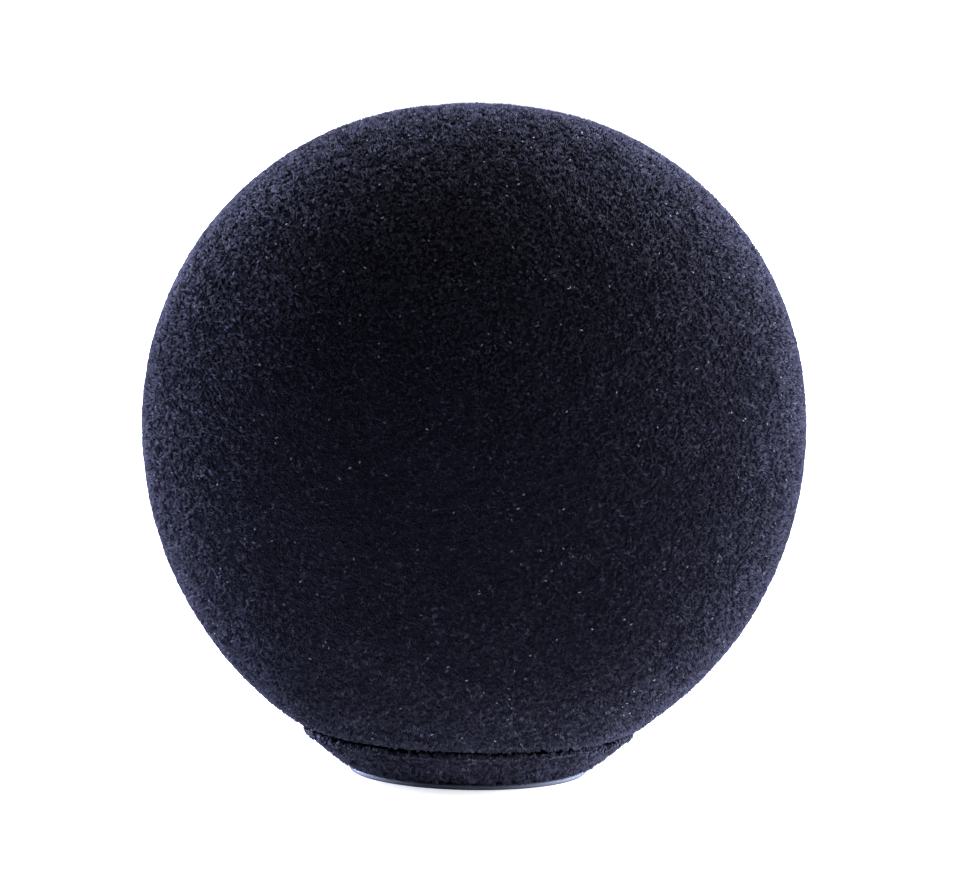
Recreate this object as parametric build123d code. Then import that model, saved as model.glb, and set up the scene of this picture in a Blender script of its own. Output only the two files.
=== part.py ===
from build123d import *
import os
from math import cos, degrees, pi, radians, sin

# Furry ball windscreen for a pencil microphone: a hollow lattice basket under gauze, foam and a
# short-pile fabric cover, plugged on to a fur-covered neck that holds a rubber microphone grommet.
# Millimetres, +Z up. The origin is the centre of the bottom face, where the microphone goes in.

# ---- Driving dimensions -------------------------------------------------------------------------
BALL_CENTRE_Z = 46.3
CROWN_HEIGHT = 90.8       # top of the pile on the axis
CROWN_RADIUS = 51.0       # the crown is flatter than the rest
CROWN_ANGLE = 14.0        # degrees from the axis to the edge of that crown
FLANK_RADII = {           # over the pile, by degrees above the level through the ball's centre
    60: 45.3, 40: 45.55, 20: 45.4, 0: 45.0, -20: 44.9, -40: 45.4, -60: 46.3, -70: 47.0,
}
MICROPHONE_RADIUS = 10.0  # body of the microphone that the grommet grips
LAYER_GAP = 0.1           # air between layers that lie on each other
RUNNING_GAP = 0.05        # radial clearance where one part slides or turns in another

COVER_THICKNESS = 1.5     # pile and backing
HEM_RADIUS = 22.0         # circle that the elastic runs round
HEM_BEAD_RADIUS = 1.35
HEM_CHANNEL_RADIUS = 0.75
HEM_BOTTOM_Z = 6.4
HEM_SLIT_HEIGHT = 0.3     # where the fold stays open for the elastic
HEM_STITCH_RADIUS = 21.4  # towards the inner side of the bead
HEM_STITCH_COUNT = 72

GAUZE_THICKNESS = 0.3
BASKET_RADIUS = 38.0
BASKET_WALL = 1.8
BASKET_PITCH = 9.8        # from one window to the next
BASKET_RIB = 2.0
WINDOW_CORNER = 1.2
EQUATOR_RIM_ANGLE = 4.5   # degrees of solid rim on each half
CROWN_HOLE_RADIUS = 3.0
UPPER_WINDOW_ROWS = 5
LOWER_WINDOW_ROWS = 3
SNAP_RING_HALF_HEIGHT = 2.6
SNAP_RING_WALL = 1.2
SNAP_RING_ROUND = 0.4

SOCKET_BORE_RADIUS = 16.5
SOCKET_WALL = 2.5
SOCKET_BOTTOM_Z = 7.2
SOCKET_LIP_RADIUS = 20.4  # bottom lip, inside the hem bead
SOCKET_LIP_HEIGHT = 1.4
FOOT_RADIUS = 24.0        # top flange of the socket and foot ring of the basket
SOCKET_FLANGE_Z = 12.9
SOCKET_TOP_Z = 14.6
FOOT_HEIGHT = 2.0
SOCKET_ROUND = 0.3

SCREW_COUNT = 4
SCREW_CIRCLE_RADIUS = 21.6
SCREW_RADIUS = 0.9
SCREW_HEAD_RADIUS = 1.7
SCREW_HEAD_HEIGHT = 1.1
SCREW_HEAD_ROUND = 0.4
SCREW_RECESS_LENGTH = 2.0
SCREW_RECESS_WIDTH = 0.4
SCREW_RECESS_DEPTH = 0.6
SCREW_POINT = 0.4          # chamfer at the end of the shank
SCREW_CLEARANCE = 0.2      # radial, in the socket flange
WASHER_THICKNESS = 0.3
WASHER_RIM = 0.3           # past the screw head

GROMMET_FLANGE_RADIUS = 16.1
GROMMET_FLANGE_HEIGHT = 0.7
GROMMET_TOP_Z = 13.0
GRIP_LANDS = 3
GRIP_GROOVE_DEPTH = 0.4
STIFFENER_RADII = (11.3, 12.1)
STIFFENER_LOW_Z = 4.5
GROMMET_RIM_ROUND = 0.25
GROMMET_LEAD_IN = 0.6

COLLAR_BORE_RADIUS = 13.0
COLLAR_BOTTOM_Z = 0.75
COLLAR_TOP_Z = 13.8
COLLAR_CONE_Z = 4.9       # where the cone under the sleeve ends
COLLAR_CONE_RADIUS = 18.4
COLLAR_FOOT_WALL = 1.2
COLLAR_FOOT_HEIGHT = 0.65
COLLAR_SHOULDER_RADIUS = 17.9
SPIGOT_CHAMFER = 0.6
O_RING_Z = 10.5
O_RING_SECTION_RADIUS = 0.6
O_RING_GROOVE_WIDTH = 1.8
O_RING_GROOVE_SLACK = 0.07 # under the ring
O_RING_SOCKET_GAP = 0.03

SLEEVE_FOOT_RADIUS = 16.8
SLEEVE_TOP_RADIUS = 22.8
SLEEVE_TOP_Z = 5.7
SLEEVE_BULGE = 0.15
SLEEVE_WALL = 1.9         # measured level
SLEEVE_HEM = 0.7
SLEEVE_TURN_IN = 0.4       # how far its edge reaches in over the cone
SLEEVE_STITCH_INSET = 2.9
SLEEVE_STITCH_COUNT = 64

SEAL_HEIGHT = 2.6
SEAL_GAP = 0.3             # round the microphone
SEAL_RIM = 0.35            # in from the spigot
SEAL_ROUND = 0.5
STITCH_RADIUS = 0.13
STITCH_LENGTH = 1.3
STITCH_GAP = 0.02

# ---- Derived places -----------------------------------------------------------------------------
SOCKET_OUTER_RADIUS = SOCKET_BORE_RADIUS + SOCKET_WALL
FOOT_BOTTOM_Z = SOCKET_TOP_Z
FOOT_TOP_Z = FOOT_BOTTOM_Z + FOOT_HEIGHT
GAUZE_INNER_RADIUS = BASKET_RADIUS + LAYER_GAP / 2
FOAM_INNER_RADIUS = GAUZE_INNER_RADIUS + GAUZE_THICKNESS + LAYER_GAP / 2
FOAM_INSET = COVER_THICKNESS + LAYER_GAP
HEM_Z = HEM_BOTTOM_Z + HEM_BEAD_RADIUS
SPIGOT_RADIUS = SOCKET_BORE_RADIUS - RUNNING_GAP
O_RING_RADIUS = SOCKET_BORE_RADIUS - O_RING_SECTION_RADIUS - O_RING_SOCKET_GAP
O_RING_GROOVE_RADIUS = O_RING_RADIUS - O_RING_SECTION_RADIUS - O_RING_GROOVE_SLACK
COLLAR_FOOT_RADIUS = COLLAR_BORE_RADIUS + COLLAR_FOOT_WALL
FAR = 120.0               # past the whole object, for cutting regions


# ---- Half sections: X is the radius and Y the height, spun about the axis -------------------------
def block(inner, outer, low, high):
    """Rectangle of the half section."""
    return Pos((inner + outer) / 2, (low + high) / 2) * Rectangle(outer - inner, high - low)


def polygon(*points):
    return make_face(Polyline(*points, close=True))


def egg(inset=0.0):
    """Half section of the ball down past the neck, drawn in by inset on every side."""
    crown_centre = CROWN_HEIGHT - CROWN_RADIUS
    crown = CenterArc((0, crown_centre), CROWN_RADIUS - inset, 90 - CROWN_ANGLE, CROWN_ANGLE)
    flank = [crown @ 0]
    for angle, radius in FLANK_RADII.items():
        reach = radius - inset
        flank.append((reach * cos(radians(angle)), BALL_CENTRE_Z + reach * sin(radians(angle))))
    side = Spline(*flank, tangents=(-(crown % 0), (-2, -1)))
    foot = Polyline(side @ 1, (0, (side @ 1).Y), crown @ 1)
    return make_face([crown, side, foot])


def half_disc(radius):
    """Half section of a sphere about the ball's centre."""
    return Pos(0, BALL_CENTRE_Z) * Circle(radius) & block(0, FAR, -FAR, FAR)


def spin(section):
    return revolve(Plane.XZ * section, Axis.Z)


def round_corners(section, radius):
    return fillet(section.vertices(), radius)


def around_axis(shape, count, start=0.0):
    """Copies of a solid, evenly spaced round the Z axis, as a list."""
    return [Rot(0, 0, start + 360 * i / count) * shape for i in range(count)]


# ---- Ball: cover, foam and gauze ------------------------------------------------------------------
def fur_ball_cover():
    """Short-pile cover whose lower edge is folded into a hem, open along a slit on its inside."""
    shell = (egg() - egg(COVER_THICKNESS)) & block(0, FAR, HEM_BOTTOM_Z, FAR)
    bead = Pos(HEM_RADIUS, HEM_Z) * Circle(HEM_BEAD_RADIUS)
    channel = Pos(HEM_RADIUS, HEM_Z) * Circle(HEM_CHANNEL_RADIUS)
    half_slit = HEM_SLIT_HEIGHT / 2
    slit = block(HEM_RADIUS - 2 * HEM_BEAD_RADIUS, HEM_RADIUS, HEM_Z - half_slit, HEM_Z + half_slit)
    return spin(shell + bead - channel - slit)


def hem_elastic():
    return Pos(0, 0, HEM_Z) * Torus(HEM_RADIUS, HEM_CHANNEL_RADIUS - RUNNING_GAP)


def stitch_ring(radius, height, count):
    """Tangential thread stitches lying level on a circle."""
    thread = Rot(90, 0, 0) * Cylinder(STITCH_RADIUS, STITCH_LENGTH)
    stitch = Pos(radius, 0, height) * fillet(thread.edges(), 0.9 * STITCH_RADIUS)
    return Compound(children=around_axis(stitch, count))


def hem_stitches():
    """Thread under the hem bead, closing the fold round the elastic."""
    return stitch_ring(HEM_STITCH_RADIUS, HEM_BOTTOM_Z - STITCH_RADIUS - STITCH_GAP, HEM_STITCH_COUNT)


def foam_layer():
    return egg(FOAM_INSET) - half_disc(FOAM_INNER_RADIUS)


def foam_shell_upper():
    return spin(foam_layer() & block(0, FAR, BALL_CENTRE_Z, FAR))


def foam_shell_lower():
    """Lower foam, which also fills the waist of the socket spool above the hem."""
    bottom = HEM_BOTTOM_Z + 2 * HEM_BEAD_RADIUS + LAYER_GAP
    screw_room = SOCKET_FLANGE_Z - WASHER_THICKNESS - SCREW_HEAD_HEIGHT - 2 * LAYER_GAP
    body = foam_layer() & block(0, FAR, bottom, BALL_CENTRE_Z)
    spool = block(0, SOCKET_OUTER_RADIUS + LAYER_GAP, 0, FOOT_TOP_Z)
    flanges = block(0, FOOT_RADIUS + LAYER_GAP, screw_room, FOOT_TOP_Z + LAYER_GAP)
    return spin(body - spool - flanges)


def gauze_layer():
    return half_disc(GAUZE_INNER_RADIUS + GAUZE_THICKNESS) - half_disc(GAUZE_INNER_RADIUS)


def gauze_liner_upper():
    return spin(gauze_layer() & block(0, FAR, BALL_CENTRE_Z + LAYER_GAP, FAR))


def gauze_liner_lower():
    low = FOOT_TOP_Z + 3 * LAYER_GAP
    return spin(gauze_layer() & block(0, FAR, low, BALL_CENTRE_Z - LAYER_GAP))


# ---- Ball: lattice basket and socket ---------------------------------------------------------------
def window_row(low, high):
    """Cutters for one row of windows between two latitudes, in degrees, about the ball's centre."""
    middle = radians((low + high) / 2)
    girth = 2 * pi * BASKET_RADIUS * cos(middle)
    count = round(girth / BASKET_PITCH)
    width = degrees((girth / count - BASKET_RIB) / (BASKET_RADIUS * cos(middle)))
    inner, outer = BASKET_RADIUS - 2 * BASKET_WALL, BASKET_RADIUS + BASKET_WALL
    near, far = CenterArc((0, 0), inner, low, high - low), CenterArc((0, 0), outer, low, high - low)
    sector = make_face([near, Line(near @ 1, far @ 1), far, Line(far @ 0, near @ 0)])
    cutter = revolve(Plane.XZ * sector, Axis.Z, width)
    cutter = fillet(cutter.edges().filter_by(GeomType.LINE), WINDOW_CORNER)
    return around_axis(Pos(0, 0, BALL_CENTRE_Z) * cutter, count)


def lattice(rows, sign):
    """Window cutters for one half of the basket; sign is 1 above the equator and -1 below it."""
    height = degrees((BASKET_PITCH - BASKET_RIB) / BASKET_RADIUS)
    step = degrees(BASKET_PITCH / BASKET_RADIUS)
    cutters = []
    for row in range(rows):
        low = EQUATOR_RIM_ANGLE + row * step
        edges = sorted((sign * low, sign * (low + height)))
        cutters += window_row(*edges)
    return cutters


def basket_shell():
    return half_disc(BASKET_RADIUS) - half_disc(BASKET_RADIUS - BASKET_WALL)


def basket_upper():
    half = spin(basket_shell() & block(0, FAR, BALL_CENTRE_Z, FAR))
    crown_hole = Pos(0, 0, BALL_CENTRE_Z + BASKET_RADIUS) * Cylinder(CROWN_HOLE_RADIUS, 4 * BASKET_WALL)
    return half - lattice(UPPER_WINDOW_ROWS, 1) - crown_hole


def basket_lower():
    """Lower half, which stands on a foot ring with pilot holes for the socket screws."""
    shell = basket_shell() & block(0, FAR, FOOT_BOTTOM_Z, BALL_CENTRE_Z)
    foot = block(SOCKET_OUTER_RADIUS, FOOT_RADIUS, FOOT_BOTTOM_Z, FOOT_TOP_Z)
    tidy = block(0, SOCKET_OUTER_RADIUS, 0, FOOT_TOP_Z)
    pilot = Pos(SCREW_CIRCLE_RADIUS, 0, FOOT_BOTTOM_Z) * Cylinder(SCREW_RADIUS + RUNNING_GAP, 6 * FOOT_HEIGHT)
    return spin(shell + foot - tidy) - lattice(LOWER_WINDOW_ROWS, -1) - around_axis(pilot, SCREW_COUNT)


def equator_snap_ring():
    """Band inside the equator that locks the two basket halves together."""
    outer = BASKET_RADIUS - BASKET_WALL - 2 * LAYER_GAP
    low, high = BALL_CENTRE_Z - SNAP_RING_HALF_HEIGHT, BALL_CENTRE_Z + SNAP_RING_HALF_HEIGHT
    return spin(round_corners(block(outer - SNAP_RING_WALL, outer, low, high), SNAP_RING_ROUND))


def socket_ring():
    """Spool-shaped ring that plugs on to the neck: lip below for the hem, flange above for the basket."""
    bore, wall = SOCKET_BORE_RADIUS, SOCKET_OUTER_RADIUS
    section = polygon(
        (bore, SOCKET_BOTTOM_Z),
        (SOCKET_LIP_RADIUS, SOCKET_BOTTOM_Z),
        (SOCKET_LIP_RADIUS, SOCKET_BOTTOM_Z + SOCKET_LIP_HEIGHT),
        (wall, SOCKET_BOTTOM_Z + SOCKET_LIP_HEIGHT),
        (wall, SOCKET_FLANGE_Z),
        (FOOT_RADIUS, SOCKET_FLANGE_Z),
        (FOOT_RADIUS, SOCKET_TOP_Z),
        (bore, SOCKET_TOP_Z),
    )
    clearance = SCREW_RADIUS + SCREW_CLEARANCE
    hole = Pos(SCREW_CIRCLE_RADIUS, 0, SOCKET_TOP_Z) * Cylinder(clearance, 3 * FOOT_HEIGHT)
    return spin(round_corners(section, SOCKET_ROUND)) - around_axis(hole, SCREW_COUNT)


def socket_screws():
    """Pan-head screws that come up through the socket flange into the basket's foot."""
    seat = SOCKET_FLANGE_Z - WASHER_THICKNESS
    bottom = seat - SCREW_HEAD_HEIGHT
    head = Cylinder(SCREW_HEAD_RADIUS, SCREW_HEAD_HEIGHT, align=(Align.CENTER, Align.CENTER, Align.MIN))
    head = fillet(head.edges().sort_by(Axis.Z)[0], SCREW_HEAD_ROUND)
    slot = Box(SCREW_RECESS_LENGTH, SCREW_RECESS_WIDTH, 2 * SCREW_RECESS_DEPTH)
    recess = slot + Rot(0, 0, 90) * slot
    length = FOOT_TOP_Z - LAYER_GAP - seat
    shank = Cylinder(SCREW_RADIUS, length, align=(Align.CENTER, Align.CENTER, Align.MIN))
    shank = chamfer(shank.edges().sort_by(Axis.Z)[-1], SCREW_POINT)
    screw = Pos(0, 0, bottom) * (head - recess) + Pos(0, 0, seat) * shank
    return Compound(children=around_axis(Pos(SCREW_CIRCLE_RADIUS, 0, 0) * screw, SCREW_COUNT))


def screw_washers():
    ring = Circle(SCREW_HEAD_RADIUS + WASHER_RIM) - Circle(SCREW_RADIUS + RUNNING_GAP)
    washer = Pos(SCREW_CIRCLE_RADIUS, 0, SOCKET_FLANGE_Z - WASHER_THICKNESS) * extrude(ring, WASHER_THICKNESS)
    return Compound(children=around_axis(washer, SCREW_COUNT))


# ---- Neck: collar, its fur sleeve and seals ----------------------------------------------------------
def friction_o_ring():
    return Pos(0, 0, O_RING_Z) * Torus(O_RING_RADIUS, O_RING_SECTION_RADIUS)


def neck_collar():
    """Moulded neck: a cone under the sleeve, a shoulder that the socket sits on, and the spigot."""
    body = polygon(
        (COLLAR_BORE_RADIUS, COLLAR_BOTTOM_Z),
        (COLLAR_FOOT_RADIUS, COLLAR_BOTTOM_Z),
        (COLLAR_FOOT_RADIUS, COLLAR_BOTTOM_Z + COLLAR_FOOT_HEIGHT),
        (COLLAR_CONE_RADIUS, COLLAR_CONE_Z),
        (COLLAR_SHOULDER_RADIUS, COLLAR_CONE_Z),
        (COLLAR_SHOULDER_RADIUS, SOCKET_BOTTOM_Z),
        (SPIGOT_RADIUS, SOCKET_BOTTOM_Z),
        (SPIGOT_RADIUS, COLLAR_TOP_Z - SPIGOT_CHAMFER),
        (SPIGOT_RADIUS - SPIGOT_CHAMFER, COLLAR_TOP_Z),
        (COLLAR_BORE_RADIUS, COLLAR_TOP_Z),
    )
    half_width = O_RING_GROOVE_WIDTH / 2
    groove = block(O_RING_GROOVE_RADIUS, FAR, O_RING_Z - half_width, O_RING_Z + half_width)
    return spin(body - groove)


def sleeve_inner_radius(height):
    """Radius of the sleeve's flat inner face at a height."""
    share = (height - COLLAR_BOTTOM_Z) / (SLEEVE_TOP_Z - COLLAR_BOTTOM_Z)
    return SLEEVE_FOOT_RADIUS - SLEEVE_WALL + share * (SLEEVE_TOP_RADIUS - SLEEVE_FOOT_RADIUS)


def collar_fur_sleeve():
    """Short-pile sleeve on the cone, bulging a little, with its top edge turned in over the foam."""
    foot, top = (SLEEVE_FOOT_RADIUS, COLLAR_BOTTOM_Z), (SLEEVE_TOP_RADIUS, SLEEVE_TOP_Z)
    bulge = ((foot[0] + top[0]) / 2 + SLEEVE_BULGE, (foot[1] + top[1]) / 2 - SLEEVE_BULGE)
    hem_z = SLEEVE_TOP_Z - SLEEVE_HEM
    hem_radius = COLLAR_CONE_RADIUS - SLEEVE_TURN_IN
    corners = [
        top,
        (hem_radius, SLEEVE_TOP_Z),
        (hem_radius, hem_z),
        (sleeve_inner_radius(hem_z), hem_z),
        (sleeve_inner_radius(COLLAR_BOTTOM_Z), COLLAR_BOTTOM_Z),
        foot,
    ]
    return spin(make_face([ThreePointArc(foot, bulge, top), Polyline(*corners)]))


def collar_foam_ring():
    """Foam between the collar's cone and the sleeve."""
    low, high = COLLAR_BOTTOM_Z + COLLAR_FOOT_HEIGHT, COLLAR_CONE_Z
    return spin(polygon(
        (COLLAR_FOOT_RADIUS + RUNNING_GAP, low),
        (sleeve_inner_radius(low) - RUNNING_GAP, low),
        (sleeve_inner_radius(high) - RUNNING_GAP, high),
        (COLLAR_CONE_RADIUS + RUNNING_GAP, high),
    ))


def sleeve_stitches():
    """Thread through the turned-in top edge of the sleeve."""
    radius = SLEEVE_TOP_RADIUS - SLEEVE_STITCH_INSET
    return stitch_ring(radius, SLEEVE_TOP_Z + STITCH_RADIUS + STITCH_GAP, SLEEVE_STITCH_COUNT)


def neck_foam_seal():
    """Foam washer on the spigot's rim that closes the air gap round the microphone."""
    low = COLLAR_TOP_Z + RUNNING_GAP
    section = block(MICROPHONE_RADIUS + SEAL_GAP, SPIGOT_RADIUS - SEAL_RIM, low, low + SEAL_HEIGHT)
    return spin(round_corners(section, SEAL_ROUND))


# ---- Microphone grommet ---------------------------------------------------------------------------
def microphone_grommet():
    """Rubber bush with a bottom flange and three grip lands inside, slotted above for its stiffener."""
    body_radius = COLLAR_BORE_RADIUS - RUNNING_GAP
    slot = block(*STIFFENER_RADII, STIFFENER_LOW_Z, FAR)
    flange = block(MICROPHONE_RADIUS, GROMMET_FLANGE_RADIUS, 0, GROMMET_FLANGE_HEIGHT)
    rim = flange.vertices().group_by(Axis.X)[-1]
    lead_in = flange.vertices().group_by(Axis.X)[0].sort_by(Axis.Y)[0]
    flange = fillet(rim, GROMMET_RIM_ROUND)
    flange = chamfer(flange.vertices().sort_by_distance(lead_in)[0], GROMMET_LEAD_IN)
    section = flange + block(MICROPHONE_RADIUS, body_radius, GROMMET_FLANGE_HEIGHT, GROMMET_TOP_Z)
    land = GROMMET_TOP_Z / (2 * GRIP_LANDS - 1)
    for groove in range(GRIP_LANDS - 1):
        low = land * (2 * groove + 1)
        section -= block(0, MICROPHONE_RADIUS + GRIP_GROOVE_DEPTH, low, low + land)
    return spin(section - slot)


def grommet_stiffener():
    """Plastic ring pushed into the grommet's slot from above, so that the rubber keeps its shape."""
    inner, outer = STIFFENER_RADII
    gap = RUNNING_GAP
    return spin(block(inner + gap, outer - gap, STIFFENER_LOW_Z + gap, GROMMET_TOP_Z))


# ---- Write every node -----------------------------------------------------------------------------
NODES = [
    fur_ball_cover, hem_elastic, hem_stitches, foam_shell_upper, foam_shell_lower,
    gauze_liner_upper, gauze_liner_lower, basket_upper, basket_lower, equator_snap_ring,
    socket_ring, socket_screws, screw_washers,
    friction_o_ring,
    neck_collar, collar_fur_sleeve, collar_foam_ring, sleeve_stitches, neck_foam_seal,
    microphone_grommet, grommet_stiffener,
]

os.makedirs("parts", exist_ok=True)
for node in NODES:
    export_step(node(), f"parts/{node.__name__}.step")
    print("wrote", node.__name__)
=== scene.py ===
import itertools
import math

import bmesh
import bpy
import numpy as np
from mathutils import Matrix, Vector


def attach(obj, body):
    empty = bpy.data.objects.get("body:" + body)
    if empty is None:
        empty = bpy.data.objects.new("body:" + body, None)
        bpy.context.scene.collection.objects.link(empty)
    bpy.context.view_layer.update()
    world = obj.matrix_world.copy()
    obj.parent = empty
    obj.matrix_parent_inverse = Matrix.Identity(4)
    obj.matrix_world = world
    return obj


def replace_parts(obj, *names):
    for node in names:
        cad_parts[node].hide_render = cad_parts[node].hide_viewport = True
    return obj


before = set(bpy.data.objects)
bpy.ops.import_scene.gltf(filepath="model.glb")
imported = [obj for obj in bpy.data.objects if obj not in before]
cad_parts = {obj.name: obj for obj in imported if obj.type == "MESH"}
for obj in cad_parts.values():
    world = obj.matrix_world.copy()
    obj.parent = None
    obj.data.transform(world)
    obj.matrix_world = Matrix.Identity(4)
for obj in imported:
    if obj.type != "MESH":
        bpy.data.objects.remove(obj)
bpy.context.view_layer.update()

MM = 0.001
TURN = 2 * math.pi

# ---- The ball and the neck, in millimetres, as the CAD has them --------------------------------------
BALL_CENTRE = 46.3
PILE_RADII = {  # over the pile, by degrees above the level through the ball's centre
    90: 44.5, 80: 44.62, 70: 44.95, 60: 45.3, 40: 45.55, 20: 45.4, 0: 45.0,
    -20: 44.9, -40: 45.4, -60: 46.3, -70: 47.0,
}
PILE_HEIGHT = 0.45      # how far the fibres stand over the cloth they grow from
CLOTH = 1.05            # thickness of the cloth
HEM_CENTRE, HEM_RADIUS, HEM_CHANNEL = (22.0, 7.75), 1.2, 0.78
SLEEVE_FOOT, SLEEVE_TOP, SLEEVE_BULGE = (16.8, 0.75), (22.8, 5.7), 0.22
FOAM_INSET, FOAM_BORE = 1.65, 38.42
GAUZE_RADII = (38.07, 38.33)

# ---- Pile -----------------------------------------------------------------------------------------------
TUFTS_PER_MM2 = 5.2
TUFT_FIBRES = 3
TUFT_SPREAD = 0.12     # how far a tuft's fibres stand from its middle
FIBRE_LENGTH = (0.32, 0.52)
FIBRE_RADIUS = (0.175, 0.240)
HAIRS_PER_MM2 = 0.012   # stray curled hairs
LINT_PER_MM2 = 0.026
ROOT_DEPTH = 0.12       # how deep a fibre starts in the cloth
PIECE_FIBRES = 49000    # at 4 triangles each, so that no piece has over 200,000
TUFT_LOOSE = 0.20       # how far single tufts stray from the lie of the nap
TUFT_LEAN, TUFT_LEAN_SIZE = 0.32, 0.75      # how far tufts lean, and over what distance they lean alike
NAP_LEAN, NAP_LEAN_SIZE = 0.15, 9.0         # the same for whole patches of the nap
HEM_OVERHANG = 0.12     # how much longer the fibres over the groove are, as a share
HEM_OVERHANG_TOP, HEM_OVERHANG_RUN = 9.0, 2.5       # height it starts at and how far down it grows
HEM_SAG_FROM, HEM_SAG_RUN = 6.4, 6.0        # height of the hem's wave and how far up it dies out


# ---- Noise ---------------------------------------------------------------------------------------------
def noise(points, size, seed):
    """Smooth noise from -1 to 1 at points, with features of about this size."""
    scaled = points / size + 0.37 * seed
    cell = np.floor(scaled).astype(np.int64)
    share = scaled - cell
    share = share ** 3 * (share * (share * 6 - 15) + 10)
    total = np.zeros(len(points))
    for corner in itertools.product((0, 1), repeat=3):
        key = (cell + corner) * (73856093, 19349663, 83492791)
        key = key[:, 0] ^ key[:, 1] ^ key[:, 2] ^ (seed * 2654435761)
        key = ((key ^ (key >> 13)) * 1274126177) & 0x7FFFFFFF
        key = ((key ^ (key >> 15)) * 668265263) & 0x7FFFFFFF
        weight = np.prod(np.where(corner, share, 1 - share), axis=1)
        total += weight * ((key >> 7) % 65536 / 32767.5 - 1)
    return total


def unevenness(points):
    """How far the cloth's surface stands out or in, in mm: soft swells, tufts and nubs."""
    return (
        0.10 * noise(points, 19.0, 1)
        + 0.05 * noise(points, 6.5, 2)
        + 0.05 * noise(points, 2.1, 3)
        + 0.06 * noise(points, 0.9, 4)
    )


def drift(points, size, seed):
    """A smooth field of directions."""
    return np.stack([noise(points, size, seed + k) for k in range(3)], axis=1)


# ---- Profiles: rows of (radius, height) ------------------------------------------------------------------
def smooth_through(knots, at):
    """Smooth values at these places, through the knots of a dict."""
    x = np.array(sorted(knots), float)
    y = np.array([knots[k] for k in sorted(knots)], float)
    slope = np.gradient(y, x)
    i = np.clip(np.searchsorted(x, at) - 1, 0, len(x) - 2)
    h = x[i + 1] - x[i]
    t = (at - x[i]) / h
    return (
        (2 * t ** 3 - 3 * t ** 2 + 1) * y[i]
        + (t ** 3 - 2 * t ** 2 + t) * h * slope[i]
        + (3 * t ** 2 - 2 * t ** 3) * y[i + 1]
        + (t ** 3 - t ** 2) * h * slope[i + 1]
    )


def ball_rows(angles, inset):
    """Points on the ball's profile at these angles, drawn in by inset."""
    reach = smooth_through(PILE_RADII, np.asarray(angles, float)) - inset
    turn = np.radians(angles)
    return np.stack([reach * np.cos(turn), BALL_CENTRE + reach * np.sin(turn)], axis=1)


def arc_rows(centre, radius, start, end, count):
    turn = np.radians(np.linspace(start, end, count))
    return np.stack([centre[0] + radius * np.cos(turn), centre[1] + radius * np.sin(turn)], axis=1)


def line_rows(*points, step=0.8):
    """Points along straight runs, evenly spaced."""
    rows = []
    for a, b in zip(points[:-1], points[1:]):
        a, b = np.array(a, float), np.array(b, float)
        count = max(2, round(np.linalg.norm(b - a) / step))
        rows.append(a + (b - a) * np.linspace(0, 1, count, endpoint=False)[:, None])
    return np.concatenate(rows + [np.array(points[-1:], float)])


def outward(rows, closed=False):
    """Unit vectors square to a profile, which point out of it where it runs from the crown down."""
    along = np.roll(rows, -1, 0) - np.roll(rows, 1, 0) if closed else np.gradient(rows, axis=0)
    along /= np.linalg.norm(along, axis=1)[:, None] + 1e-12
    return np.stack([-along[:, 1], along[:, 0]], axis=1)


# ---- Meshes --------------------------------------------------------------------------------------------
def add_mesh(name, points, faces, materials, slots=None):
    """A new smooth mesh object from points in mm and faces that all have the same number of corners."""
    mesh = bpy.data.meshes.new(name)
    faces = np.asarray(faces, np.int32)
    mesh.vertices.add(len(points))
    mesh.vertices.foreach_set("co", (np.asarray(points) * MM).astype(np.float32).ravel())
    mesh.loops.add(faces.size)
    mesh.loops.foreach_set("vertex_index", faces.ravel())
    mesh.polygons.add(len(faces))
    mesh.polygons.foreach_set("loop_start", np.arange(0, faces.size, faces.shape[1], dtype=np.int32))
    for material in materials:
        mesh.materials.append(material)
    if slots is not None:
        mesh.polygons.foreach_set("material_index", np.asarray(slots, np.int32))
    mesh.update(calc_edges=True)
    mesh.polygons.foreach_set("use_smooth", np.full(len(faces), True))
    mesh.validate()
    made = bpy.data.objects.new(name, mesh)
    bpy.context.scene.collection.objects.link(made)
    return made


def turned(name, rows, around, material, shape=None, poles=False):
    """A closed skin turned from a profile: a ring, or with poles, one that starts and ends on the axis.
    shape moves the points, given the points, the outward directions and each point's row."""
    rows = np.asarray(rows, float)
    square = outward(rows, closed=not poles)
    turn = np.arange(around) * TURN / around
    points, normals = (
        np.stack([flat[:, :1] * np.cos(turn), flat[:, :1] * np.sin(turn), np.repeat(flat[:, 1:], around, 1)],
                 axis=2).reshape(-1, 3)
        for flat in (rows, square)
    )
    if shape is not None:
        points = shape(points, normals, np.repeat(np.arange(len(rows)), around))
    i = np.arange(len(rows) - 1 if poles else len(rows))
    j = np.arange(around)
    a = (i[:, None] * around + j).ravel()
    b = (i[:, None] * around + (j + 1) % around).ravel()
    below = around * len(rows)
    faces = np.stack([a, b, (b + around) % below, (a + around) % below], axis=1)
    made = add_mesh(name, points, faces, [material])
    tidy_skin(made)
    return made


def tidy_skin(obj):
    """Joins the points that lie together at a pole and turns every face outward."""
    work = bmesh.new()
    work.from_mesh(obj.data)
    bmesh.ops.remove_doubles(work, verts=work.verts, dist=2e-6)
    bmesh.ops.recalc_face_normals(work, faces=work.faces)
    work.to_mesh(obj.data)
    work.free()


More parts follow.
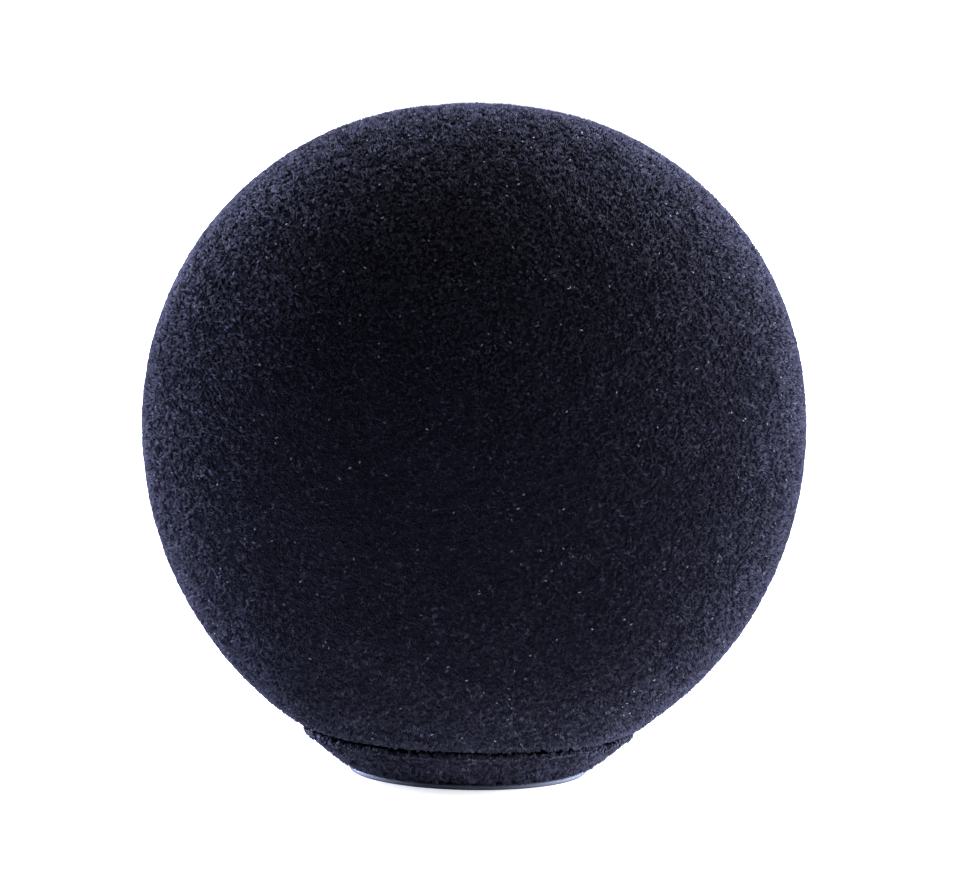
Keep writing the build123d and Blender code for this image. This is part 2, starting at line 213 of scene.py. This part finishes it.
# ---- Materials -------------------------------------------------------------------------------------------
class Nodes:
    """Builds one material's node tree. Sizes and depths are in millimetres."""

    def __init__(self, name, **values):
        self.material = bpy.data.materials.new(name)
        self.material.use_nodes = True
        self.tree = self.material.node_tree
        self.shader = self.tree.nodes["Principled BSDF"]
        self.place = self.tree.nodes.new("ShaderNodeTexCoord").outputs["Object"]
        for key, value in values.items():
            self.shader.inputs[key.replace("_", " ")].default_value = value

    def node(self, kind, **values):
        made = self.tree.nodes.new(kind)
        for key, value in values.items():
            made.inputs[key.replace("_", " ")].default_value = value
        return made

    def link(self, a, b):
        self.tree.links.new(a, b)

    def noise(self, size, detail=3.0, roughness=0.55, stretch=(1.0, 1.0, 1.0)):
        made = self.node("ShaderNodeTexNoise", Scale=1.0 / (size * MM), Detail=detail, Roughness=roughness)
        mapping = self.node("ShaderNodeMapping", Scale=stretch)
        self.link(self.place, mapping.inputs["Vector"])
        self.link(mapping.outputs["Vector"], made.inputs["Vector"])
        return made.outputs["Fac"]

    def cells(self, size, feature="F1"):
        made = self.node("ShaderNodeTexVoronoi", Scale=1.0 / (size * MM))
        made.feature = feature
        self.link(self.place, made.inputs["Vector"])
        return made.outputs["Distance"]

    def math(self, kind, *values):
        made = self.tree.nodes.new("ShaderNodeMath")
        made.operation = kind
        for socket, value in zip(made.inputs, values):
            if isinstance(value, bpy.types.NodeSocket):
                self.link(value, socket)
            else:
                socket.default_value = value
        return made.outputs[0]

    def ramp(self, source, *stops):
        made = self.tree.nodes.new("ShaderNodeValToRGB")
        for i, (place, color) in enumerate(stops):
            if i > 1:
                made.color_ramp.elements.new(place)
            made.color_ramp.elements[i].position = place
            value = color if hasattr(color, "__len__") else (color, color, color)
            made.color_ramp.elements[i].color = (*value, 1.0)
        self.link(source, made.inputs["Fac"])
        return made.outputs["Color"]

    def mix(self, share, a, b):
        made = self.tree.nodes.new("ShaderNodeMix")
        made.data_type = "RGBA"
        for value, socket in ((share, made.inputs[0]), (a, made.inputs[6]), (b, made.inputs[7])):
            if isinstance(value, bpy.types.NodeSocket):
                self.link(value, socket)
            else:
                socket.default_value = value if socket == made.inputs[0] else (*value, 1.0)
        return made.outputs[2]

    def color(self, source):
        self.link(source, self.shader.inputs["Base Color"])
        return self

    def rough(self, source, low, high):
        self.link(self.ramp(source, (0.25, low), (0.75, high)), self.shader.inputs["Roughness"])
        return self

    def bump(self, *layers):
        """Layers of (height socket, depth), each on top of the one before."""
        normal = None
        for source, depth in layers:
            made = self.node("ShaderNodeBump", Strength=1.0, Distance=depth * MM)
            self.link(source, made.inputs["Height"])
            if normal is not None:
                self.link(normal, made.inputs["Normal"])
            normal = made.outputs["Normal"]
        self.link(normal, self.shader.inputs["Normal"])
        return self


def shade(color, factor):
    return tuple(c * factor for c in color)


def pile_cloth():
    """The knitted back of the pile."""
    n = Nodes("pile_cloth", Specular_IOR_Level=0.0)
    cloud = n.ramp(n.noise(7.0, 4.0), (0.35, (0.0045, 0.0046, 0.0070)), (0.65, (0.0070, 0.0072, 0.0110)))
    grain = n.ramp(n.noise(0.42, 3.0, 0.7),
                   (0.42, (0.0025, 0.0026, 0.0040)), (0.66, (0.0110, 0.0113, 0.0172)))
    n.color(n.mix(0.5, cloud, grain))
    n.rough(n.noise(1.2), 0.85, 1.0)
    return n.bump((n.noise(1.1, 2.0), 0.20), (n.noise(0.33, 3.0, 0.7), 0.15)).material


def fibre(name, color, roughness=0.6):
    return Nodes(name, Base_Color=(*color, 1.0), Roughness=roughness, Specular_IOR_Level=0.05,
                 Specular_Tint=(0.5, 0.5, 1.0, 1.0), Sheen_Weight=0.12, Sheen_Roughness=0.35,
                 Sheen_Tint=(0.48, 0.48, 0.78, 1.0)).material


def moulded(name, color, texture, roughness, depth=0.02):
    """Moulded plastic with a fine even texture, faint flow marks and a little handling shine."""
    n = Nodes(name, Specular_IOR_Level=0.45)
    flow = n.ramp(n.noise(9.0, 4.0), (0.3, shade(color, 0.85)), (0.7, shade(color, 1.2)))
    dust = n.ramp(n.noise(0.6, 4.0, 0.7), (0.62, shade(color, 1.0)), (0.80, shade(color, 1.8)))
    n.color(n.mix(0.25, flow, dust))
    n.rough(n.noise(2.4, 4.0), *roughness)
    return n.bump((n.cells(texture), depth), (n.noise(texture * 0.5, 2.0), depth * 0.6)).material


def steel(name):
    """Blackened steel with fine turning marks."""
    n = Nodes(name, Metallic=1.0)
    n.color(n.ramp(n.noise(1.2, 4.0), (0.35, (0.10, 0.10, 0.105)), (0.70, (0.36, 0.36, 0.37))))
    n.rough(n.noise(0.5), 0.28, 0.50)
    return n.bump((n.noise(0.10, 2.0, stretch=(0.2, 0.2, 3.0)), 0.006)).material


def smooth_rubber(name, color, roughness, depth=0.008):
    """Moulded rubber: soft sheen, cloudy bloom and specks of dust."""
    n = Nodes(name, Specular_IOR_Level=0.5)
    bloom = n.ramp(n.noise(5.0, 5.0), (0.35, shade(color, 0.8)), (0.70, shade(color, 1.35)))
    specks = n.ramp(n.noise(0.35, 3.0, 0.7), (0.68, shade(color, 1.0)), (0.78, shade(color, 3.0)))
    n.color(n.mix(0.3, bloom, specks))
    n.rough(n.noise(1.6, 4.0), *roughness)
    return n.bump((n.noise(0.22, 3.0), depth), (n.noise(3.0, 2.0), 0.02)).material


def open_foam(name):
    """Open-cell foam: pale cell rims, with the pores between them painted dark as shade in their hollows."""
    n = Nodes(name, Specular_IOR_Level=0.2)
    pores = n.cells(0.55)
    # Darker towards each cell's middle, paler on the rims: painted shade in the pore's hollow.
    walls_and_pore_shade = n.ramp(pores, (0.15, (0.006, 0.006, 0.007)), (0.55, (0.060, 0.061, 0.066)))
    n.color(n.mix(n.noise(6.0), walls_and_pore_shade, (0.030, 0.031, 0.034)))
    n.rough(n.noise(1.0), 0.85, 1.0)
    return n.bump((pores, 0.30), (n.cells(0.25), 0.10)).material


def woven_gauze(name, threads):
    """Plain weave that runs round and down the ball, with this many threads round it."""
    n = Nodes(name, Specular_IOR_Level=0.3)
    split = n.tree.nodes.new("ShaderNodeSeparateXYZ")
    n.link(n.place, split.inputs[0])
    x, y, z = split.outputs
    height = n.math("SUBTRACT", z, BALL_CENTRE * MM)
    out = n.math("SQRT", n.math("ADD", n.math("MULTIPLY", x, x), n.math("MULTIPLY", y, y)))
    level = n.math("ARCTAN2", height, out)
    warp = n.math("SINE", n.math("MULTIPLY", n.math("ARCTAN2", y, x), threads))
    weft = n.math("SINE", n.math("MULTIPLY", level, threads))
    weave = n.math("MULTIPLY_ADD", n.math("MULTIPLY", warp, weft), 0.5, 0.5)
    # The colour follows the weave's relief, darker in its dips: painted shade.
    n.color(n.ramp(weave, (0.15, (0.008, 0.008, 0.010)), (0.75, (0.048, 0.048, 0.054))))
    n.rough(n.noise(2.0), 0.6, 0.8)
    return n.bump((weave, 0.10)).material


def wound_thread(name, color, pitch):
    """Thread or covered cord: a fine twist over its colour."""
    n = Nodes(name, Sheen_Weight=0.3, Sheen_Roughness=0.5, Specular_IOR_Level=0.25)
    twist = n.noise(pitch, 2.0, 0.6, stretch=(1.0, 1.0, 2.5))
    n.color(n.ramp(twist, (0.35, shade(color, 0.5)), (0.65, shade(color, 1.8))))
    n.rough(n.noise(0.8), 0.7, 0.9)
    return n.bump((n.cells(pitch), 0.4 * pitch)).material


CLOTH_MATERIAL = pile_cloth()
FOAM_MATERIAL = open_foam("open_foam")
GAUZE_MATERIAL = woven_gauze("woven_gauze", 380)
FIBRE_MATERIALS = [
    fibre("fibre_black", (0.0089, 0.0089, 0.0124)),
    fibre("fibre_navy", (0.0136, 0.0136, 0.0190)),
    fibre("fibre_blue", (0.0214, 0.0214, 0.0300)),
    fibre("fibre_pale", (0.0480, 0.0480, 0.0670)),
    fibre("fibre_lint", (0.2800, 0.2850, 0.3400), 0.7),
]
TUFT_SHARES = (0.34, 0.42, 0.20, 0.04)    # of the first materials, from the darkest

NODE_MATERIALS = {
    moulded("basket_plastic", (0.024, 0.024, 0.026), 0.30, (0.48, 0.66)): ["basket_upper", "basket_lower"],
    moulded("ring_plastic", (0.017, 0.017, 0.019), 0.14, (0.32, 0.48), 0.008): [
        "equator_snap_ring", "socket_ring", "neck_collar", "grommet_stiffener",
    ],
    steel("blackened_steel"): ["socket_screws", "screw_washers"],
    smooth_rubber("black_rubber", (0.012, 0.012, 0.013), (0.42, 0.60)): ["friction_o_ring"],
    smooth_rubber("blue_grey_rubber", (0.052, 0.060, 0.086), (0.52, 0.64)): ["microphone_grommet"],
    wound_thread("covered_elastic", (0.016, 0.016, 0.018), 0.30): ["hem_elastic"],
    wound_thread("sewing_thread", (0.020, 0.024, 0.042), 0.10): ["hem_stitches", "sleeve_stitches"],
}
for material, names in NODE_MATERIALS.items():
    for name in names:
        for material_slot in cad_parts[name].material_slots:
            material_slot.material = material


# ---- Fibres ----------------------------------------------------------------------------------------------
def scatter(rows, density, rng):
    """Random places, evenly by area, on the skin turned from a profile, and its outward directions there."""
    square = outward(rows)
    run = np.linalg.norm(np.diff(rows, axis=0), axis=1)
    area = TURN * (rows[1:, 0] + rows[:-1, 0]) / 2 * run
    count = int(area.sum() * density)
    where = np.searchsorted(np.cumsum(area) / area.sum(), rng.random(count))
    where = np.minimum(where, len(run) - 1)
    t = rng.random(count)[:, None]
    flat = rows[where] * (1 - t) + rows[where + 1] * t
    facing = square[where] * (1 - t) + square[where + 1] * t
    facing /= np.linalg.norm(facing, axis=1)[:, None]
    turn = rng.random(count) * TURN
    c, s = np.cos(turn), np.sin(turn)
    points = np.stack([flat[:, 0] * c, flat[:, 0] * s, flat[:, 1]], axis=1)
    normals = np.stack([facing[:, 0] * c, facing[:, 0] * s, facing[:, 1]], axis=1)
    return points, normals


def across(directions):
    """Two directions square to each direction and to each other."""
    helper = np.where(np.abs(directions[:, 2:]) > 0.9, (1.0, 0.0, 0.0), (0.0, 0.0, 1.0))
    side = np.cross(helper, directions)
    side /= np.linalg.norm(side, axis=1)[:, None]
    return side, np.cross(directions, side)


def unit(vectors):
    return vectors / np.linalg.norm(vectors, axis=1)[:, None]


def pick(points, rng):
    """A material for each tuft, by TUFT_SHARES, shifted a little in soft patches."""
    mood = 0.07 * noise(points, 5.0, 11) + 0.07 * noise(points, 1.3, 12)
    draw = np.clip(rng.random(len(points)) * (1 + mood), 0, 0.99999)
    return np.searchsorted(np.cumsum(TUFT_SHARES)[:-1], draw)


def lying(points, normals, rng):
    """The directions of fibres that lean together in tufts, each a little loose."""
    lean = TUFT_LEAN * drift(points, TUFT_LEAN_SIZE, 31) + NAP_LEAN * drift(points, NAP_LEAN_SIZE, 41)
    lean += rng.normal(0, TUFT_LOOSE, (len(points), 3))
    lean -= normals * np.sum(lean * normals, axis=1)[:, None]
    return unit(normals + lean)


def pile(name, points, normals, rng, body, edge=None):
    """Tufts of short tapering fibres, each fibre closed, in pieces of at most PIECE_FIBRES.
    edge gives each tuft's extra length, as a share."""
    tufts = len(points)
    along = lying(points, normals, rng)
    reach = rng.uniform(*FIBRE_LENGTH, tufts) * (1 if edge is None else 1 + edge)
    slots = np.repeat(pick(points, rng), TUFT_FIBRES)
    count = tufts * TUFT_FIBRES
    rise = np.repeat(unevenness(points) - ROOT_DEPTH, TUFT_FIBRES)[:, None]
    points, normals, along, reach = (
        np.repeat(values, TUFT_FIBRES, axis=0) for values in (points, normals, along, reach)
    )
    side, up = across(normals)
    shift = rng.normal(0, TUFT_SPREAD, (2, count, 1))
    root = points + normals * rise + side * shift[0] + up * shift[1]
    along = unit(along + rng.normal(0, 0.10, (count, 3)))
    reach = (reach * rng.uniform(0.85, 1.1, count) + ROOT_DEPTH)[:, None]
    radius = rng.uniform(*FIBRE_RADIUS, count)[:, None]
    flat, other = across(along)
    turn = rng.random(count) * TURN
    corners = [root + radius * (flat * np.cos(turn + k * TURN / 3)[:, None]
                                + other * np.sin(turn + k * TURN / 3)[:, None]) for k in range(3)]
    corners = np.stack(corners + [root + along * reach], axis=1)
    pattern = np.array([(0, 2, 1), (0, 1, 3), (1, 2, 3), (2, 0, 3)])
    pieces = []
    for i, chosen in enumerate(np.array_split(np.arange(count), math.ceil(count / PIECE_FIBRES))):
        faces = (np.arange(len(chosen))[:, None, None] * 4 + pattern).reshape(-1, 3)
        made = add_mesh(f"{name}_{i + 1:02d}", corners[chosen].reshape(-1, 3), faces, FIBRE_MATERIALS,
                        np.repeat(slots[chosen], len(pattern)))
        pieces.append(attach(made, body))
    return pieces


def stray_hairs(name, points, normals, rng, body, lengths, radii, material):
    """Curled hairs or bits of lint that lie over the pile, as one piece."""
    count, steps, sides = len(points), 6, 4
    flat, other = across(normals)
    heading = rng.random(count) * TURN
    curl = rng.uniform(-3.6, 3.6, count)
    length = rng.uniform(*lengths, count)
    radius = rng.uniform(*radii, count)
    place = points + normals * 0.30
    path, ways = [place], []
    for step in range(steps):
        angle = heading + curl * step / steps
        way = flat * np.cos(angle)[:, None] + other * np.sin(angle)[:, None]
        way = unit(way + normals * (0.45 * math.cos(step * 0.9)))
        ways.append(way)
        place = place + way * (length / steps)[:, None]
        path.append(place)
    ways.append(ways[-1])
    rings = []
    for place, way, share in zip(path, ways, np.linspace(1.0, 0.5, steps + 1)):
        one, two = across(way)
        for k in range(sides):
            turn = k * TURN / sides
            rings.append(place + (one * math.cos(turn) + two * math.sin(turn)) * (radius * share)[:, None])
    corners = np.stack(rings, axis=1)
    quads = [(s * sides + k, s * sides + (k + 1) % sides,
              (s + 1) * sides + (k + 1) % sides, (s + 1) * sides + k)
             for s in range(steps) for k in range(sides)]
    last = steps * sides
    pattern = np.array(quads + [(3, 2, 1, 0), (last, last + 1, last + 2, last + 3)])
    faces = (np.arange(count)[:, None, None] * corners.shape[1] + pattern).reshape(-1, 4)
    made = add_mesh(name, corners.reshape(-1, 3), faces, [material])
    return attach(made, body)


# ---- Ball cover --------------------------------------------------------------------------------------------
OUTER_ANGLES = np.concatenate([[90.0], np.linspace(89.4, -58.6, 186)])
INNER_ANGLES = np.concatenate([np.linspace(-56.0, 89.0, 44), [90.0]])
HEM_SWAY = ((2, 0.14, 0.6), (5, 0.11, 2.0), (11, 0.07, 0.9))    # waves round, size in mm, start


def wavy_hem(points):
    """How far the hem's edge sags, in mm, round the ball."""
    turn = np.arctan2(points[:, 1], points[:, 0])
    wave = sum(size * np.sin(waves * turn + start) for waves, size, start in HEM_SWAY)
    close = np.clip(1 - (points[:, 2] - HEM_SAG_FROM) / HEM_SAG_RUN, 0, 1)
    return wave * close ** 2


def hem_rows():
    """The fold round the elastic: under the bead, in at the slit, round the channel and out again."""
    return np.concatenate([
        arc_rows(HEM_CENTRE, HEM_RADIUS, -35, -170, 12),
        arc_rows(HEM_CENTRE, HEM_CHANNEL, -168, 168, 20),
        arc_rows(HEM_CENTRE, HEM_RADIUS, 170, 130, 4),
    ])


ball_face = ball_rows(OUTER_ANGLES, PILE_HEIGHT)
hem = hem_rows()
hem_start = len(ball_face)


def shape_ball(points, normals, row):
    outside = np.clip((hem_start + 8 - row) / 6.0, 0, 1)
    moved = points + normals * (unevenness(points) * outside)[:, None]
    moved[:, 2] += wavy_hem(points)
    return moved


ball_profile = np.concatenate([ball_face, hem, ball_rows(INNER_ANGLES, PILE_HEIGHT + CLOTH)])
ball_cover = turned("ball_cover", ball_profile, 360, CLOTH_MATERIAL, shape_ball, poles=True)
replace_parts(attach(ball_cover, "ball"), "fur_ball_cover")

rng = np.random.default_rng(7)
places, facings = scatter(np.concatenate([ball_face, hem[:6]]), TUFTS_PER_MM2, rng)
overhang = HEM_OVERHANG * np.clip((HEM_OVERHANG_TOP - places[:, 2]) / HEM_OVERHANG_RUN, 0, 1)
places[:, 2] += wavy_hem(places)
ball_pile = pile("ball_pile", places, facings, rng, "ball", edge=overhang)

places, facings = scatter(ball_face, HAIRS_PER_MM2, rng)
low = rng.random(len(places)) < np.clip(0.25 + (30 - places[:, 2]) / 30, 0.2, 1.0)
ball_hairs = stray_hairs("ball_hairs", places[low], facings[low], rng, "ball", (0.7, 1.6), (0.022, 0.034),
                         FIBRE_MATERIALS[3])
places, facings = scatter(ball_face, LINT_PER_MM2, rng)
ball_lint = stray_hairs("ball_lint", places, facings, rng, "ball", (0.18, 0.45), (0.045, 0.085),
                        FIBRE_MATERIALS[4])


# ---- Neck sleeve -------------------------------------------------------------------------------------------
def sleeve_rows(inset, count):
    """The sleeve's face from its top down to its foot, bulging a little."""
    t = np.linspace(1, 0, count)
    foot, top = np.array(SLEEVE_FOOT), np.array(SLEEVE_TOP)
    rows = foot + (top - foot) * t[:, None]
    run = (top - foot) / np.linalg.norm(top - foot)
    square = np.array([run[1], -run[0]])
    return rows + square * (SLEEVE_BULGE * 4 * t * (1 - t) - inset)[:, None]


sleeve_face = sleeve_rows(PILE_HEIGHT, 26)
sleeve_fold = arc_rows((SLEEVE_TOP[0] - 1.0, SLEEVE_TOP[1] - 0.62), 0.5, 100, 20, 5)
sleeve_profile = np.concatenate([
    line_rows((18.1, 5.55), (SLEEVE_TOP[0] - 1.2, 5.6)), sleeve_fold, sleeve_face[1:],
    sleeve_rows(1.5, 8)[-1:0:-1], [(19.6, 4.9), (18.1, 4.9)],
])
sleeve_outside = 6, 34      # first and last rows that show


def shape_sleeve(points, normals, row):
    outside = (row >= sleeve_outside[0]) & (row < sleeve_outside[1])
    return points + normals * (0.7 * unevenness(points) * outside)[:, None]


neck_sleeve = turned("neck_sleeve", sleeve_profile, 240, CLOTH_MATERIAL, shape_sleeve)
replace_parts(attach(neck_sleeve, "neck"), "collar_fur_sleeve")
places, facings = scatter(np.concatenate([sleeve_fold[2:], sleeve_face[1:]]), TUFTS_PER_MM2, rng)
sleeve_pile = pile("sleeve_pile", places, facings, rng, "neck")


# ---- Foam and gauze inside the ball ------------------------------------------------------------------------
def porous(points, normals, row):
    """Foam skins are never quite even."""
    return points + normals * (0.05 * noise(points, 3.5, 51) + 0.05 * noise(points, 1.3, 52) - 0.05)[:, None]


def foam_piece(name, rows, around, body, node, poles=False):
    made = turned(name, rows, around, FOAM_MATERIAL, porous, poles)
    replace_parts(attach(made, body), node)


def gauze_piece(name, rows, poles, node):
    made = turned(name, rows, 240, GAUZE_MATERIAL, poles=poles)
    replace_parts(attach(made, "ball"), node)


def sphere_rows(radius, start, end, count):
    return arc_rows((0, BALL_CENTRE), radius, start, end, count)


FOAM_LOW, FOAM_SPOOL, FOAM_SHELF = 9.35, 19.2, (24.2, 11.2, 16.8)    # bottom, waist and shelf that it clears
foam_piece("foam_upper", np.concatenate([
    ball_rows(np.concatenate([[90.0], np.linspace(88.8, 0.35, 76)]), FOAM_INSET),
    [(41.0, BALL_CENTRE + 0.12)],
    sphere_rows(FOAM_BORE, 0.3, 90, 60),
]), 300, "ball", "foam_shell_upper", poles=True)
foam_piece("foam_lower", np.concatenate([
    ball_rows(np.linspace(-0.35, -54.0, 50), FOAM_INSET),
    line_rows((25.2, FOAM_LOW), (FOAM_SPOOL, FOAM_LOW), (FOAM_SPOOL, FOAM_SHELF[1]),
              (FOAM_SHELF[0], FOAM_SHELF[1]), (FOAM_SHELF[0], FOAM_SHELF[2])),
    sphere_rows(FOAM_BORE, -49.0, -0.3, 40),
    [(41.0, BALL_CENTRE - 0.12)],
]), 300, "ball", "foam_shell_lower")
gauze_piece("gauze_upper", np.concatenate([
    sphere_rows(GAUZE_RADII[1], 90, 0.3, 70), sphere_rows(GAUZE_RADII[0], 0.3, 90, 70),
]), True, "gauze_liner_upper")
gauze_piece("gauze_lower", np.concatenate([
    sphere_rows(GAUZE_RADII[1], -0.3, -49.4, 40), sphere_rows(GAUZE_RADII[0], -49.7, -0.3, 40),
]), False, "gauze_liner_lower")

# ---- Foam on the neck --------------------------------------------------------------------------------------
foam_piece("collar_foam", line_rows(
    (18.4, 4.85), (19.75, 4.85), (15.25, 1.45), (14.3, 1.45), (16.3, 3.1), (18.4, 4.85), step=0.5,
)[:-1], 200, "neck", "collar_foam_ring")
foam_piece("neck_seal", np.concatenate([
    arc_rows((15.55, 15.9), 0.5, 90, 0, 5), arc_rows((15.55, 14.4), 0.5, 0, -90, 5),
    arc_rows((10.85, 14.4), 0.5, -90, -180, 5), arc_rows((10.85, 15.9), 0.5, 180, 90, 5),
    line_rows((11.6, 16.4), (14.8, 16.4), step=0.5),
]), 200, "neck", "neck_foam_seal")

# ---- Camera ------------------------------------------------------------------------------------------------
scene = bpy.context.scene
CAMERA_DISTANCE, CAMERA_ELEVATION, CAMERA_ROLL = 0.9, 7.5, 1.1
LENS = 251.0
AIM = (0.0004, -0.00216)    # right and up from the ball's centre

camera = bpy.data.objects.new("camera", bpy.data.cameras.new("camera"))
scene.collection.objects.link(camera)
scene.camera = camera
camera.data.lens = LENS
camera.data.sensor_width = 36.0
camera.data.clip_start, camera.data.clip_end = 0.01, 20.0
rise = math.radians(CAMERA_ELEVATION)
back_off = Vector((0, -math.cos(rise), math.sin(rise)))
turn = (-back_off).to_track_quat("-Z", "Y").to_matrix()
right, up = turn.col[0].copy(), turn.col[1].copy()
camera.location = Vector((0, 0, BALL_CENTRE * MM)) + back_off * CAMERA_DISTANCE + right * AIM[0] + up * AIM[1]
camera.rotation_euler = (turn @ Matrix.Rotation(math.radians(CAMERA_ROLL), 3, "Z")).to_euler()


# ---- Floor -------------------------------------------------------------------------------------------------
FLOOR_SIDE = 6000.0                         # mm
SHOWN_NEAR, SHOWN_FAR = 0.62, 1.0           # glow seen under the object and well away from it; the weaker glow near it is painted shade
SHOWN_REACH = 0.12, 0.75                    # where the one turns into the other, in m from the middle
UNDER_LEFT, UNDER_RIGHT = 0.7, 5.2          # light thrown up at the neck, on its left and its right
UNDER_RISE, UNDER_FALL = (0.017, 0.023), (0.036, 0.058)     # the ring it comes from, in m
UNDER_HALF_WIDTH = 0.03                     # m
BEHIND, BEHIND_REACH = 1.0, 0.06            # light thrown forward from behind, and over how many m it grows
SHOWN_COLOR, THROWN_COLOR = (1.0, 1.0, 1.0), (0.84, 0.875, 1.0)


def paper_floor():
    """A pale paper sweep, lit so that it looks almost white. The glow that is seen lights nothing, and the
    light that it throws at the object isn't seen."""
    half = FLOOR_SIDE / 2
    made = add_mesh("floor", [(-half, -half, 0), (half, -half, 0), (half, half, 0), (-half, half, 0)],
                    [(0, 1, 2, 3)], [])
    n = Nodes("floor_paper", Roughness=0.9, Specular_IOR_Level=0.1)
    n.color(n.ramp(n.noise(60.0), (0.3, (0.84, 0.84, 0.85)), (0.7, (0.88, 0.88, 0.89))))

    def spread(source, start, end, low, high):
        made = n.node("ShaderNodeMapRange", From_Min=start, From_Max=end, To_Min=low, To_Max=high)
        n.link(source, made.inputs["Value"])
        return made.outputs["Result"]

    away = n.tree.nodes.new("ShaderNodeVectorMath")
    away.operation = "LENGTH"
    n.link(n.place, away.inputs[0])
    away = away.outputs["Value"]
    split = n.tree.nodes.new("ShaderNodeSeparateXYZ")
    n.link(n.place, split.inputs[0])
    ring = n.math("MULTIPLY", spread(away, *UNDER_RISE, 0.0, 1.0), spread(away, *UNDER_FALL, 1.0, 0.0))
    sideways = spread(split.outputs[0], -UNDER_HALF_WIDTH, UNDER_HALF_WIDTH, UNDER_LEFT, UNDER_RIGHT)
    forward = spread(split.outputs[1], 0.0, BEHIND_REACH, 0.0, BEHIND)
    thrown = n.math("ADD", n.math("MULTIPLY", ring, sideways), forward)
    seen = n.tree.nodes.new("ShaderNodeLightPath").outputs["Is Camera Ray"]
    # The seen glow is weaker near the object: painted shade round it.
    glow = spread(away, *SHOWN_REACH, SHOWN_NEAR, SHOWN_FAR)
    shown = n.math("MULTIPLY", seen, n.math("SUBTRACT", glow, thrown))
    n.link(n.math("ADD", shown, thrown), n.shader.inputs["Emission Strength"])
    n.link(n.mix(seen, THROWN_COLOR, SHOWN_COLOR), n.shader.inputs["Emission Color"])
    made.data.materials.append(n.material)


paper_floor()

# ---- Light -------------------------------------------------------------------------------------------------
PLAIN, COOL, BLUE = (1.0, 0.98, 0.84), (0.95, 0.94, 1.0), (0.66, 0.71, 1.0)
LAMPS = [   # name, place and width in m, watts, colour
    ("back_left", (-0.65, 0.55, 0.10), 0.70, 21.5, BLUE),
    ("back_right", (0.65, 0.55, 0.10), 0.70, 3.5, BLUE),
    ("low_back_left", (-0.60, 0.30, 0.05), 0.60, 22.0, BLUE),
    ("low_back_right", (0.60, 0.30, 0.05), 0.60, 27.0, BLUE),
    ("right", (0.8, -0.05, 0.10), 0.70, 16.5, COOL),
    ("top", (0.0, 0.15, 0.85), 0.70, 5.4, PLAIN),
    ("back_top", (0.0, 0.60, 0.60), 0.70, 31.0, BLUE),
]
WORLD_STRENGTH = 0.02


def soft_light(name, place, size, power, color):
    lamp = bpy.data.lights.new(name, "AREA")
    lamp.shape, lamp.size, lamp.energy, lamp.color = "DISK", size, power, color
    made = bpy.data.objects.new(name, lamp)
    made.location = Vector(place)
    made.visible_camera = False
    aim = Vector((0, 0, BALL_CENTRE * MM)) - Vector(place)
    made.rotation_euler = aim.to_track_quat("-Z", "Y").to_euler()
    scene.collection.objects.link(made)


def plain_world(strength):
    world = bpy.data.worlds.new("studio")
    world.use_nodes = True
    world.node_tree.nodes["Background"].inputs["Strength"].default_value = strength
    world.node_tree.nodes["Background"].inputs["Color"].default_value = (0.92, 0.95, 1.0, 1.0)
    scene.world = world


plain_world(WORLD_STRENGTH)
for lamp in LAMPS:
    soft_light(*lamp)
scene.view_settings.view_transform = "Standard"
